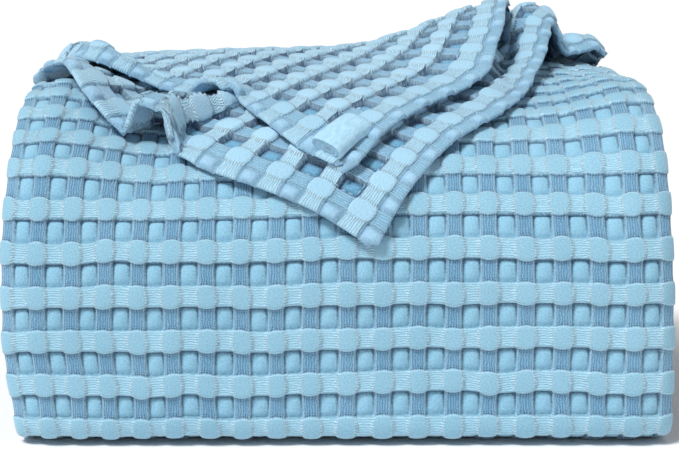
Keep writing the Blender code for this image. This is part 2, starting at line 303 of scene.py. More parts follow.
# Nested folds in the order in which the sheet runs through them
ROUTE = (  # (level, upwards, layers joined behind it, setback of that fold at the back)
    (4, True, (21, 20), 1.5),
    (5, False, (5, 8), 0.0),
    (8, True, (17, 16), 4.0),
    (9, False, (9, 12), 2.0),
    (12, True, (13, 14), 9.0),
    (11, False, (11, 10), 2.0),
    (10, True, (15, 18), 4.0),
    (7, False, (7, 6), 0.0),
    (6, True, (19, 22), 1.5),
    (3, False, (3, 2), 3.0),
    (2, True, None, 0.0),
)
FIRST_HALF = 5  # folds of the route in the first of the two inner pieces


def layers_lines():
    """The line of the sheet through the inner folds, as one line for each inner piece."""
    halves = []
    start = (BACK - 38, layer_height(4), 4)
    for part in (ROUTE[:FIRST_HALF], ROUTE[FIRST_HALF:]):
        points = [np.array([start], float)]
        for level, upwards, joined, setback in part:
            fold = fold_line(level) if upwards else fold_line(level)[::-1]
            points.append(with_level(fold, level))
            if joined:
                points.append(with_level(back_fold(*joined, setback), level + 0.5))
        if not joined:
            points.append(np.array([(BACK - 12, layer_height(23), 2)], float))
        start = points[-1][-1]
        halves.append(Line(np.concatenate(points)))
    return halves


def wrap_line():
    """The outermost fold, from its turn at the top of the back to that at the bottom."""
    top = with_level(back_fold(25, 24, 0.0), 1)
    bottom = with_level(back_fold(1, 4, 3.0), 1)
    end = with_level([(BACK - 40, layer_height(4))], 1)
    return Line(np.concatenate([top, with_level(fold_line(1)[::-1], 1), bottom, end]))


# --- meshes ---


def metres(points):
    return (points + np.array([SHIFT_X, SHIFT_Y, 0.0])) / 1000


def unit_normals(along, across):
    normal = np.cross(along, across)
    return normal / np.maximum(np.linalg.norm(normal, axis=-1, keepdims=True), 1e-9)


def quads_of(*corners):
    return np.stack([corner.ravel() for corner in corners], 1)


def grid_quads(rows, columns):
    index = np.arange(rows * columns).reshape(rows, columns)
    return quads_of(index[:-1, :-1], index[:-1, 1:], index[1:, 1:], index[1:, :-1])


def rim_edges(quads, count):
    """The directed edges that only one quad has."""
    edges = np.concatenate([quads[:, [k, (k + 1) % 4]] for k in range(4)])
    keys = edges[:, 0] * count + edges[:, 1]
    return edges[~np.isin(keys, edges[:, 1] * count + edges[:, 0])]


def add_object(name, data):
    obj = bpy.data.objects.new(name, data)
    bpy.context.scene.collection.objects.link(obj)
    return obj


def mesh_object(name, points, quads, weave, bake, material):
    """A smooth mesh of quads with two UV maps, given for each corner of each quad.

    The material reads the weave's places from one. The other is a bake map.
    """
    data = bpy.data.meshes.new(name)
    data.vertices.add(len(points))
    data.vertices.foreach_set("co", metres(points).astype(np.float32).ravel())
    data.loops.add(quads.size)
    data.loops.foreach_set("vertex_index", quads.astype(np.int32).ravel())
    data.polygons.add(len(quads))
    data.polygons.foreach_set("loop_start", np.arange(0, quads.size, 4, dtype=np.int32))
    for layer, places in (("weave", weave), ("OFBake", bake)):
        uv = data.uv_layers.new(name=layer)
        uv.data.foreach_set("uv", places.astype(np.float32).ravel())
    data.update(calc_edges=True)
    data.polygons.foreach_set("use_smooth", np.ones(len(quads), bool))
    data.materials.append(material)
    return add_object(name, data)


def cloth_object(name, outer, inner, quads, weave, unit, material):
    """A closed thin sheet: its outer face, its inner face and the rim between them."""
    count = len(outer)
    first, second = rim_edges(quads, count).T
    rim = np.stack([second, first, first + count, second + count], 1)
    faces = np.concatenate([quads, quads[:, ::-1] + count, rim])
    left = unit * [0.49, 1.0]  # the inner face lies beside the outer one on the bake map
    bake = np.concatenate([left, left + [0.51, 0.0]])[faces]
    bake[2 * len(quads) :] = left[rim % count]
    points = np.concatenate([outer, inner])
    return mesh_object(name, points, faces, weave[faces % count], bake, material)


# --- the stack: the wrap and the layers inside it ---

# The weave's columns crowd together to the left
COLUMN_PLACES = (  # (weave column, x)
    (-1, -180), (0, -164.3), (3, -115.4), (6, -62.8), (9, -7.9), (12, 48.5), (15, 105.7),
    (18, 162.3), (19, 181.3),
)
POCKET_COLUMN = 0.5  # the table counts pockets, which lie half a repeat from the pads
PAD_ROW_Z = 34.5  # height of a row of pads on the front
EDGE_TURN = 2.0  # radius of the cloth's edge
EDGE_STEPS = (0.0, 0.25, 0.8, 2.0)  # distances of its own mesh lines
ROW_SKEW = 0.055  # rise of the rows to the right, on the top
SKEW_START, SKEW_REACH = 110.0, 60.0  # above that row of pads
UNDERSIDE_START = 24.0  # depth at which the underside becomes a piece of its own
FOOT_PRESS, FOOT_FADE = 0.8, 0.4  # share of the relief on the underside, and its fade
COVERED_FROM = 175.0  # depth behind which the loose ends hide the wrap's top


def column_x(u):
    return table(COLUMN_PLACES, u + POCKET_COLUMN)


def x_column(x):
    rows = np.array(COLUMN_PLACES, float)
    return np.interp(x, rows[:, 1], rows[:, 0]) - POCKET_COLUMN


def stack_columns(half):
    """x and weave column of the mesh lines across the stack, closer at its edges."""
    ends = x_column(np.array([-WIDTH / 2, WIDTH / 2]))
    x = column_x(weave_lines(ends[0], ends[1], half))
    inner = np.abs(x) < WIDTH / 2 - EDGE_STEPS[-1] - 0.6
    edge = WIDTH / 2 - np.array(EDGE_STEPS)
    x = np.concatenate([-edge, x[inner], edge[::-1]])
    return x, x_column(x)


def trims(level, row, share, y):
    """How far the inner layers' edges stand in from the full width."""
    left = TRIM * (0.5 + 0.5 * np.sin(2.3 * level + 0.35 * row))
    right = TRIM * (0.5 + 0.5 * np.sin(1.7 * level - 0.4 * row + 2))
    side = np.where(share < 0, left, -right) * np.abs(share)
    return np.where(level > 1, side * ramp(y, *TRIM_BACK), 0.0)


def edge_rounding(inset):
    """Share of the cloth's half thickness, which falls off at its edge."""
    near = 1 - np.minimum(inset, EDGE_TURN) / EDGE_TURN
    return np.sqrt(np.clip(1 - near**2, 0.02, 1))


def stack_sheet(name, line, across, rows, start, skew, press, material, even=False):
    """A stretch of the stack. rows are its weave places, start the mark of place 0.

    skew is the slope of each row across the stack, and press the share of its relief.
    even keeps the rows' real spacing in every column, not just the middle one.
    """
    x, u = stack_columns(across)
    inset = WIDTH / 2 - np.abs(x)
    u_grid, v_grid = np.meshgrid(u, rows)
    marks = start + v_grid * CELL_ALONG
    if even:
        lengths = rows * CELL_ALONG
        marks = np.stack([line.marks_at(place, start, lengths) for place in x], -1)
    wider, longer = rounding(u_grid, v_grid)
    marks = marks - skew[:, None] * x + longer * CELL_ALONG
    marks = marks + ROW_STRAY * noise(u_grid / 1.1, v_grid / 1.4, 1)
    stray = COLUMN_STRAY * noise(u_grid / 1.3, v_grid / 1.3, 0) * ease(inset / 12)
    stray = stray + (column_x(u_grid + wider) - column_x(u_grid)) * ease(inset / 8)
    y, z, level = line.at(marks)
    points = lean(x + stray, y, z)
    points[..., 0] += trims(level, v_grid, x / (WIDTH / 2), y)
    normal = unit_normals(np.gradient(points, axis=0), np.gradient(points, axis=1))
    height = RELIEF * relief(u_grid, v_grid) * press[:, None]
    height = height * (0.55 + 0.45 * ease(inset / 6))
    height = height + uneven(u_grid, v_grid, 2)
    half = CLOTH / 2 * edge_rounding(inset)
    outer = points + normal * (height + half)[..., None]
    inner = points + normal * (height - half)[..., None]
    weave = np.stack([u_grid, v_grid], -1) + WEAVE_ORIGIN
    sides = np.linspace(0, 1, len(x)), np.linspace(0, 1, len(rows))
    unit = np.stack(np.meshgrid(*sides), -1)
    quads = grid_quads(*u_grid.shape)[:, ::-1]
    flat = [part.reshape(-1, part.shape[-1]) for part in (outer, inner, weave, unit)]
    piece = cloth_object(name, flat[0], flat[1], quads, flat[2], flat[3], material)
    return piece


def make_wrap(material):
    """The wrap's front and top, and its underside, which is plainer."""
    line = wrap_line()
    _, y, z = line.leaning(0.0).T
    front = (y < NOSE) & (z < HEIGHT / 3) & (z > SHEET)
    start = np.interp(-PAD_ROW_Z, -z[front], line.marks[front])
    foot = line.marks[np.argmax((y > UNDERSIDE_START) & (z < SHEET))]
    first, turn, last = (np.array([0.0, foot, line.length]) - start) / CELL_ALONG
    top = (z > HEIGHT / 2) & (y < COVERED_FROM)
    covered = (line.marks[np.argmax(top)] - start) / CELL_ALONG
    hidden = weave_lines(first, covered, PLAIN_LINES)
    rows = np.concatenate([hidden[:-1], weave_lines(covered, turn, FINE_LINES)[1:]])
    above = ease((-SKEW_START - rows * CELL_ALONG) / SKEW_REACH)
    skew, press = ROW_SKEW * above, np.ones(len(rows))
    wrap = stack_sheet("wrap", line, WRAP_COLUMNS, rows, start, skew, press, material, True)
    rows = weave_lines(turn, last, FOOT_LINES)
    ahead, behind = ease((rows - turn) / FOOT_FADE), ease((last - 2 - rows) / FOOT_FADE)
    skew, press = 0 * rows, 1 - (1 - FOOT_PRESS) * ahead * behind
    foot = stack_sheet("underside", line, FOOT_LINES, rows, start, skew, press, material, True)
    return [wrap, foot]


def layer_rows(line):
    """Weave places along a line of layers, closer together where it turns at the back."""
    places = weave_lines(0.0, line.length / CELL_ALONG, PLAIN_LINES)
    y, _, _ = line.at(places * CELL_ALONG)
    between = (places[1:] + places[:-1]) / 2
    at_back = (y[1:] + y[:-1]) / 2 > BACK - 6
    return np.sort(np.concatenate([places, between[at_back]]))


def make_layers(material):
    made = []
    for name, line in zip(("layers_low", "layers_high"), layers_lines()):
        rows = layer_rows(line)
        skew, press = 0 * rows, np.ones(len(rows))
        made.append(stack_sheet(name, line, PLAIN_LINES, rows, 0.0, skew, press, material))
    return made


# --- the loose ends ---

LOWER_LIFT, UPPER_LIFT = 5.4, 12.6
MIN_LIFT, STEEP_CLOSER = 6.4, 2.0  # between the two sheets, square to them
# How the upper sheet rounds what it rides over
RIDE_REACH, RIDE_STEEPEST, RIDE_SPREAD = 7.0, 1.2, 1.8
LOWER_HEMS = (  # (forward of the back, left hem, right hem)
    (0, -172, 171), (30, -176, 173), (60, -180, 172), (72, -181, 171), (78, -181, 166),
    (83, -182, 156), (88, -182, 145), (91, -182, 137), (96, -182, 131), (106, -182, 129),
    (126, -182, 124), (160, -180, 113), (172, -171, 111), (182, -160, 107), (200, -154, 101),
    (221, -144, 89), (232, -132, 78), (238, -119, 71), (241, -106, 67), (244, -90, 64),
    (248, -84, 59), (255, -79, 53), (264, -56, 45), (273, -37, 38), (279, -26, 33),
    (285, -15, 30), (291, -7, 26), (298, 2, 23), (305, 11, 19), (309, 14, 17),
)
UPPER_HEMS = (  # (forward of the back, left hem, right hem)
    (0, -168, 150), (18, -171, 132), (42, -176, 109), (75, -178, 105), (92, -178, 103),
    (104, -176, 101), (131, -168, 98), (150, -156, 93), (164, -141, 89), (173, -116, 88),
    (185, -102, 84), (196, -88, 76), (203, -63, 69), (211, -57, 60), (219, -52, 51),
    (230, -43, 40), (243, -32, 24), (253, -22, 16), (259, -10, 11), (264, -2, 7), (268, 1, 4),
)
SWELL = 24.0
SWELL_ACROSS = (  # (x, share of the swell)
    (-20, 0), (10, 0.04), (30, 0.20), (52, 0.42), (71, 0.70), (90, 0.97), (110, 1),
    (123, 0.75), (135, 0.35), (150, 0.06), (175, 0),
)
SWELL_ALONG = (  # (forward of the back, share of the swell)
    (0, 0), (30, 0.4), (60, 0.85), (85, 1), (105, 1), (130, 0.86), (150, 0.70),
    (168, 0.50), (190, 0.22), (212, 0),
)
SHOULDER_ACROSS = (  # (x, share of the lower end's raised shoulder)
    (100, 0), (105, 0.25), (110, 0.85), (115, 1), (124, 0.93), (131, 0.80), (135, 0.50),
    (139, 0.10), (143, 0),
)
SHOULDER_ALONG = (  # (forward of the back, height of the shoulder)
    (0, 0), (25, 12), (50, 24), (70, 27), (85, 26), (95, 21), (106, 14),
    (118, 7), (130, 2), (142, 0),
)
PLEAT = (  # (forward of the back, x of its ridge, height of the ridge)
    (35, 131, 0), (60, 131, 3), (80, 131, 5), (92, 130, 5.5), (104, 128, 5),
    (126, 121, 4), (150, 113, 3), (178, 105, 0),
)
PLEAT_INNER, PLEAT_OUTER = 14.0, 6.0
VALLEY = (80, 98)  # across, where the lower end leaves the swell
TENT = (  # (forward of the back, x of its ridge, height of the ridge)
    (180, -46, 0), (194, -58, 3), (203, -70, 8), (213, -80, 15), (223, -88, 21),
    (234, -95, 25.5), (246, -98, 26),
)
TENT_INNER, TENT_OUTER = 7.0, 6.0
TENT_ROOF = (  # (forward of the back, width of its roof to the left of the ridge)
    (180, 6), (213, 9), (232, 13), (246, 15),
)
# How far the lower hem draws back as it rises to that height, from where to where
TENT_PULL, PULL_HEIGHT, PULL_ALONG = 6.0, 23.0, (196, 234)
HEM_RISE = (  # (x, height)
    (-190, 1), (-182, 2), (-172, 5), (-150, 7), (-134, 5), (-117, 0),
)
HEM_RISE_FADE, HEM_RISE_ALONG = 55.0, (40, 100)
ROLL = 11.0  # the lower end's thicker, rolled hem at the right of the top
ROLL_ACROSS, ROLL_OUTER = (139, 148), (158, 174)
ROLL_BACK, ROLL_FRONT = (15, 45), (64, 90)
CURL, CURL_MIDDLE, CURL_REACH = 13.0, 15.0, 17.0  # the upper end's lifted left hem
CURL_BACK, CURL_FRONT = (60, 110), (145, 185)
UPPER_TURN = 1.5 * PITCH  # radius of the fold in which the upper end turns into the stack
UPPER_START = -math.pi * UPPER_TURN - 14
# Forward of these the left and the right side are hems, and behind them the cloth goes on
LOWER_HEMS_FROM, UPPER_HEMS_FROM = (95, 85), (150, 75)
LOOSE_ROWS, LOOSE_COLUMNS = 100, 72  # of the grid on which the weave is laid
FIRST_STEPS, ROUNDS, ROUND_STEPS = 600, 120, 12  # in laying it out flat
OFF_CLOTH = 0.02  # distance from which a place counts as outside the flat cloth
# A hem is one row of pockets, which stand out as beads, and one row of pads, doubled
HEM_U, HEM_V = 0.316, 0.409  # weave places of the two edges, which make pads whole numbers
HEM_END, HEM_EXTRA, HEM_PRESS = 1.30, 0.9, 0.75
BEAD_DOME, BEAD_REACH = 1.05, 0.21
INNER_RELIEF = 0.45  # share of the relief on a loose end's inner face
STITCH_PLACE, STITCH_HALF, STITCH_DEPTH = 1.31, 0.03, 0.45  # of the seam's groove

FRONT = nose_line(NOSE, HEIGHT / 2, FOOT_POWER, UPPER_POWER)[::-1]
OUTSIDE = np.concatenate([[(BACK, HEIGHT)], FRONT])  # from the back of the top down
OUTSIDE_MARKS = marks_of(OUTSIDE)


def on_outside(along, lift):
    """Depth and height at distances along the outside of the stack and lifts off it."""
    y, z = points_at(along, OUTSIDE_MARKS, OUTSIDE)
    before = points_at(along - 6, OUTSIDE_MARKS, OUTSIDE)
    after = points_at(along + 6, OUTSIDE_MARKS, OUTSIDE)
    run, fall = after[0] - before[0], after[1] - before[1]
    size = np.hypot(run, fall)
    return y + lift * fall / size, z - lift * run / size


def swell(x, along):
    return SWELL * smooth(SWELL_ACROSS, x) * smooth(SWELL_ALONG, along)


def pinch(off):
    """Profile of a pinched ridge: a narrow crown and steep sides."""
    return 0.15 * np.maximum(0.0, 1 - off) + 0.85 * (1 - ease(off / 1.5))


def ridge(rows, inner, outer, x, along, roof=0.0):
    off = x - smooth(rows, along)
    off = np.where(off > 0, off / outer, np.maximum(-off - roof, 0) / inner)
    return np.maximum(smooth(rows, along, 2), 0) * pinch(off)


def lower_lift(x, along, spread=1.0):
    """Lift of the lower end. spread widens its tent, as the cloth on top rounds it."""
    under = swell(x, along) * (1 - ramp(x, *VALLEY))
    left = smooth(LOWER_HEMS, along)
    rise = smooth(HEM_RISE, x) * (1 - ease((x - left) / HEM_RISE_FADE))
    rise = rise * ramp(along, *HEM_RISE_ALONG)
    roll = ROLL * ramp(x, *ROLL_ACROSS) * (1 - 0.8 * ramp(x, *ROLL_OUTER))
    roll = roll * ramp(along, *ROLL_BACK) * (1 - ramp(along, *ROLL_FRONT))
    shoulder = smooth(SHOULDER_ACROSS, x, 1, 3.0) * smooth(SHOULDER_ALONG, along)
    roof = smooth(TENT_ROOF, along)
    tent = ridge(TENT, TENT_INNER * spread, TENT_OUTER * spread, x, along, roof)
    pleat = ridge(PLEAT, PLEAT_INNER, PLEAT_OUTER, x, along)
    return LOWER_LIFT + np.maximum(under, shoulder) + pleat + tent + rise + roll


def lower_pull(x, along):
    """How far the tent draws the cloth back, up the front."""
    height = ridge(TENT, TENT_INNER, TENT_OUTER, x, along, smooth(TENT_ROOF, along))
    return TENT_PULL * (height / PULL_HEIGHT) * ramp(along, *PULL_ALONG)


def upper_lift(x, along):
    """The upper end rides over the lower one, and is lifted off it at its left hem."""
    offs = (RIDE_REACH, -RIDE_REACH)
    ahead, behind = (lower_lift(x, along + off, RIDE_SPREAD) for off in offs)
    right, left = (lower_lift(x + off, along, RIDE_SPREAD) for off in offs)
    slope = np.hypot(right - left, ahead - behind) / (2 * RIDE_REACH)
    slope = np.minimum(slope, RIDE_STEEPEST)
    below = np.max([lower_lift(x, along), ahead, behind, right, left], axis=0)
    least = below + MIN_LIFT * np.sqrt(1 + slope**2) - STEEP_CLOSER * np.minimum(slope, 1)
    lift = np.maximum(least, UPPER_LIFT + swell(x, along))
    inside = x - smooth(UPPER_HEMS, along)
    curl = CURL * (1 - ease(np.abs(inside - CURL_MIDDLE) / CURL_REACH))
    return lift + curl * ramp(along, *CURL_BACK) * (1 - ramp(along, *CURL_FRONT))


def between_hems(hems, share, along):
    """x of a place that lies that share of the way from the left hem to the right."""
    left, right = smooth(hems, along), smooth(hems, along, 2)
    return left + (right - left) * share


def lower_surface(share, along):
    x = between_hems(LOWER_HEMS, share, along)
    y, z = on_outside(along - lower_pull(x, along), lower_lift(x, along))
    return lean(x, y, z)


def upper_surface(share, along):
    """Behind the back of the top, the upper end turns down and into the stack."""
    x = between_hems(UPPER_HEMS, share, along)
    y, z = on_outside(np.maximum(along, 0), upper_lift(x, np.maximum(along, 0)))
    behind = np.maximum(-along, 0)
    turn = np.minimum(behind / UPPER_TURN, math.pi)
    y = y + UPPER_TURN * 0.92 * np.sin(turn) - np.maximum(behind - math.pi * UPPER_TURN, 0)
    z = z - UPPER_TURN * (1 - np.cos(turn))
    return lean(x, y, z)


# --- the weave on a loose end ---


def grid_triangles(rows, columns):
    quads = grid_quads(rows, columns)
    return np.concatenate([quads[:, [0, 1, 2]], quads[:, [0, 2, 3]]])


def corner_cotangents(sides):
    """Cotangent of the corner opposite each side of flat triangles, kept in bounds."""
    area = np.abs((sides[0].conjugate() * sides[1]).imag)
    a, b = -sides[[1, 2, 0]], sides[[2, 0, 1]]
    return np.clip((a.conjugate() * b).real / np.maximum(area, 1e-6), 0.05, 5.0)


def settle(values, free, pull, ends, weight, steps):
    """Conjugate gradient steps towards values whose differences give that pull."""
    count = len(values)
    first, second = ends

    def drawn(at):
        force = weight * (at[first] - at[second])
        total = np.bincount(first, force, count) - np.bincount(second, force, count)
        return total * free

    stiff = np.bincount(first, weight, count) + np.bincount(second, weight, count)
    rest = (pull - drawn(values)) * free
    step = rest / stiff
    size = rest @ step
    for _ in range(steps):
        if size < 1e-12:
            break
        moved = drawn(step)
        share = size / (step @ moved)
        values = values + share * step
        rest = rest - share * moved
        better = rest / stiff
        following = rest @ better
        step = better + following / size * step
        size = following
    return values


def flatten(points, left_free, right_free):
    """Lays a curved grid out flat with each triangle's shape kept as well as it can be.

    The result is each point's distance from the left hem and from the right hem. A side
    keeps a distance of 0 from its own hem where it isn't free.
    """
    rows, columns = points.shape[:2]
    count = rows * columns
    triangles = grid_triangles(rows, columns)
    corners = points.reshape(-1, 3)[triangles]
    base = corners[:, 1] - corners[:, 0]
    other = corners[:, 2] - corners[:, 0]
    length = np.maximum(np.linalg.norm(base, axis=1), 1e-6)
    ahead = (base * other).sum(1) / length
    aside = np.linalg.norm(np.cross(base, other), axis=1) / length
    shape = np.stack([0 * length, length, ahead - 1j * aside])  # p, q run clockwise
    sides = shape[[2, 0, 1]] - shape[[1, 2, 0]]
    weight = corner_cotangents(sides)
    first, second = triangles.T[[2, 0, 1]], triangles.T[[1, 2, 0]]
    ends, flat_weight = (first.ravel(), second.ravel()), weight.ravel()

    hems = [np.linalg.norm(np.diff(points[:, k], axis=0), axis=1) for k in (0, -1)]
    from_tip = [np.append(np.cumsum(hem[::-1])[::-1], 0.0) for hem in hems]
    free = np.ones((2, rows, columns))
    free[0, :, 0], free[1, :, -1] = left_free, right_free
    flat = 100.0 * free
    flat[1, :, 0], flat[0, :, -1] = from_tip
    held = free.copy()
    held[1, :, 0] = held[0, :, -1] = 0
    free, held, flat = (part.reshape(2, count) for part in (free, held, flat))
    for k in range(2):
        flat[k] = settle(flat[k], held[k], 0 * flat[k], ends, flat_weight, FIRST_STEPS)
    for _ in range(ROUNDS):
        place = flat[0] + 1j * flat[1]
        turn = (weight * (place[first] - place[second]) * sides.conjugate()).sum(0)
        turn /= np.maximum(np.abs(turn), 1e-9)
        force = (weight * turn * sides).ravel()
        for k, part in enumerate((force.real, force.imag)):
            pull = np.bincount(ends[0], part, count) - np.bincount(ends[1], part, count)
            flat[k] = settle(flat[k], free[k], pull, ends, flat_weight, ROUND_STEPS)
    return flat.T.reshape(rows, columns, 2)


class LooseEnd:
    """A loose end of the cloth: its folded surface, and the weave laid on it."""

    def __init__(self, surface, hems, first, hems_from):
        self.surface = surface
        along = np.linspace(first, hems[-1][0], LOOSE_ROWS)
        share = np.linspace(0, 1, LOOSE_COLUMNS)
        self.places = np.stack(np.meshgrid(share, along), -1)
        points = surface(self.places[..., 0], self.places[..., 1])
        self.flat = flatten(points, along < hems_from[0], along < hems_from[1])
        self.reach = self.flat.reshape(-1, 2).max(0)

    def points(self, share, along, aside=0.004, ahead=0.5):
        """Points of the surface and its normals, taken over those distances."""
        middle = self.surface(share, along)
        by_along = self.surface(share, along + ahead) - self.surface(share, along - ahead)
        by_share = self.surface(share + aside, along) - self.surface(share - aside, along)
        return middle, unit_normals(by_along, by_share)

    def find(self, p, q):
        """Places (share, along) on the surface of weave distances, and which are inside."""
        triangles = grid_triangles(*self.places.shape[:2])
        flat = self.flat.reshape(-1, 2)
        corners = np.column_stack([flat, np.zeros(len(flat))])
        tree = BVHTree.FromPolygons(corners.tolist(), triangles.tolist())
        spots = zip(p.tolist(), q.tolist())
        at, _, face, off = zip(*(tree.find_nearest((a, b, 0.0)) for a, b in spots))
        at, face = np.array(at)[:, :2], triangles[list(face)]
        a, b, c = (corners[face[:, k], :2] for k in range(3))
        area = cross2(b - a, c - a)
        area = np.where(np.abs(area) < 1e-9, 1e-9, area)
        share_b = np.clip(cross2(at - a, c - a) / area, 0, 1)[:, None]
        share_c = np.clip(cross2(b - a, at - a) / area, 0, 1)[:, None]
        places = self.places.reshape(-1, 2)
        a, b, c = (places[face[:, k]] for k in range(3))
        share, along = (a + (b - a) * share_b + (c - a) * share_c).T
        return share, along, np.array(off) < OFF_CLOTH


def cross2(a, b):
    return a[:, 0] * b[:, 1] - a[:, 1] * b[:, 0]


def hem_lines(reach, cell, edge):
    """Weave places of the mesh lines from a hem's edge on, closer together at the edge."""
    lines = weave_lines(edge, reach / cell + edge, FINE_LINES)
    near = edge + np.array(EDGE_STEPS[:-1]) / cell
    return np.concatenate([near, lines[lines > near[-1] + 0.3 / cell]])


def hem_relief(u, v, hem):
    """Height of the weave, pressed flat where it is doubled, with domed beads."""
    off_u, off_v = 0.5 - np.abs(from_pad(u)), 0.5 - np.abs(from_pad(v))
    dome = arch(off_u / BEAD_REACH) * arch(off_v / BEAD_REACH)
    pressed = HEM_PRESS * relief(u, v) + BEAD_DOME * np.sqrt(dome)
    height = relief(u, v, LOOSE_POCKET_DOME) * (1 - hem) + pressed * hem
    stitch = np.exp(-(((np.minimum(u, v) - STITCH_PLACE) / STITCH_HALF) ** 2))
    return height - STITCH_DEPTH * stitch


def make_loose_end(name, end, material):
    u, v = np.meshgrid(
        hem_lines(end.reach[0], CELL_ACROSS, HEM_U),
        hem_lines(end.reach[1], CELL_ALONG, HEM_V),
    )
    shape = u.shape
    p, q = (u - HEM_U) * CELL_ACROSS, (v - HEM_V) * CELL_ALONG
    away = ease(np.minimum(p, q) / 8)
    wider, longer = rounding(u, v)
    loose = ease((np.minimum(u, v) - HEM_END) / 0.4)
    stray_p = COLUMN_STRAY * noise(p / 25, q / 28, 3) * loose + wider * CELL_ACROSS * away
    stray_q = noise(p / 22, q / 30, 4) * loose + longer * CELL_ALONG * away
    share, along, inside = end.find((p + stray_p).ravel(), (q + stray_q).ravel())
    middle, normal = end.points(share, along)
    u, v, p, q = (part.ravel() for part in (u, v, p, q))
    hem = 1 - ease((np.minimum(u, v) - HEM_END) / 0.06 + 0.5)
    height = hem_relief(u, v, hem) * (LOOSE_RELIEF + (RELIEF - LOOSE_RELIEF) * hem)
    height = height + uneven(u, v, 5)
    half = (CLOTH / 2 + HEM_EXTRA * hem) * edge_rounding(np.minimum(p, q))
    outer = middle + normal * (height + half)[:, None]
    inner = middle + normal * (height * INNER_RELIEF - half)[:, None]
    quads = grid_quads(*shape)
    quads = quads[inside[quads].sum(1) >= 2]
    used, index = np.unique(quads, return_inverse=True)
    quads = index.reshape(-1, 4)
    weave = np.stack([u, v], -1)[used]
    unit = np.stack([p / p.max(), q / q.max()], -1)[used]
    piece = cloth_object(name, outer[used], inner[used], quads, weave, unit, material)
    return piece


# --- sewing and the rolled tip ---

STITCH_STEP, STITCH_LENGTH, STITCH_WIDTH, STITCH_LIFT = 4.2, 3.0, 0.42, 0.55
STITCH_TAPER, STITCH_SIDES = (0.15, 0.85, 1.0, 0.85, 0.15), 6
TIP_FROM, TIP_TO = (-8.5, 256.0), (8.0, 239.5)  # (x, forward of the back)
TIP_HALF = (10.2, 5.4)  # half its width and half its thickness
TIP_LIFT, TIP_SINK = 5.0, 3.0
TIP_RINGS, TIP_SIDES, TIP_POWER = 25, 48, 0.8
TIP_CRUMPLE = 0.05
TIP_OPEN = (  # (size, distance outwards) of the open end's rings, from its rim inwards
    (0.96, 0.7), (0.87, 0.8), (0.80, -0.4), (0.74, -0.4), (0.68, 0.6), (0.60, 0.6),
    (0.54, -0.6), (0.47, -0.6), (0.41, 0.3), (0.32, 0.3), (0.25, -0.8), (0.02, -0.8),
)
TIP_CLOSED = (0.7, 0.35, 0.02)


def tube_faces(rings, around):
    """Quads of a tube whose two ends are closed by their shrunken last rings."""
    index = np.arange(rings * around).reshape(rings, around)
    low, high = index[:-1], index[1:]
    return quads_of(low, np.roll(low, -1, 1), np.roll(high, -1, 1), high)


def tube_ring(aside, normal, sides, wide=1.0, thick=1.0, power=1.0):
    """Places around a tube's middle, for each pair of directions along it."""
    turns = np.linspace(0, 2 * math.pi, sides + 1)[:-1, None]
    across = np.sign(np.cos(turns)) * np.abs(np.cos(turns)) ** power * wide
    return aside[..., None, :] * across + normal[..., None, :] * (np.sin(turns) * thick)


def tube_object(name, points, quads, weave, material):
    """A tube or many of them. The bake map is the weave's places, spread over the map."""
    points, weave = points.reshape(-1, 3), weave.reshape(-1, 2)
    spread = (weave - weave.min(0)) / np.maximum(np.ptp(weave, 0), 1e-6)
    return mesh_object(name, points, quads, weave[quads], spread[quads], material)


def make_stitches(name, end, material):
    """Short threads along both hems, pressed into the doubled cloth."""
    in_p, in_q = (STITCH_PLACE - HEM_U) * CELL_ACROSS, (STITCH_PLACE - HEM_V) * CELL_ALONG
    left_q = np.arange(in_q + 3, end.reach[1] - 8, STITCH_STEP)
    right_p = np.arange(in_p + 3, end.reach[0] - 8, STITCH_STEP)
    by_left = np.stack([np.full(len(left_q), in_p), left_q], 1)
    by_right = np.stack([right_p, np.full(len(right_p), in_q)], 1)
    centre = np.concatenate([by_left, by_right])[:, None]
    along_hem = np.zeros_like(centre)
    along_hem[: len(left_q), :, 1] = along_hem[len(left_q) :, :, 0] = 1
    rings = len(STITCH_TAPER)
    steps = np.linspace(-0.5, 0.5, rings)
    p, q = (centre + along_hem * steps[:, None] * STITCH_LENGTH).reshape(-1, 2).T
    share, along, inside = end.find(p, q)
    middle, normal = end.points(share, along)
    u, v = HEM_U + p / CELL_ACROSS, HEM_V + q / CELL_ALONG
    height = hem_relief(u, v, 0.5 + 0 * u) * (LOOSE_RELIEF + RELIEF) / 2
    bow = np.tile(0.5 * np.cos(steps * math.pi), len(centre))
    lift = height + CLOTH / 2 + HEM_EXTRA / 2 + STITCH_LIFT * bow
    rope = (middle + normal * lift[:, None]).reshape(-1, rings, 3)
    normal = normal.reshape(rope.shape)
    aside = unit_normals(np.gradient(rope, axis=1), normal)
    ring = tube_ring(aside, normal, STITCH_SIDES)
    width = STITCH_WIDTH * np.array(STITCH_TAPER)[:, None, None]
    points = (rope[:, :, None] + ring * width)[inside.reshape(-1, rings).all(1)]
    each = rings * STITCH_SIDES
    firsts = each * np.arange(len(points))[:, None, None]
    quads = (tube_faces(rings, STITCH_SIDES) + firsts).reshape(-1, 4)
    weave = np.full((len(points) * each, 2), float(WEAVE_ORIGIN))
    return tube_object(name, points, quads, weave, material)


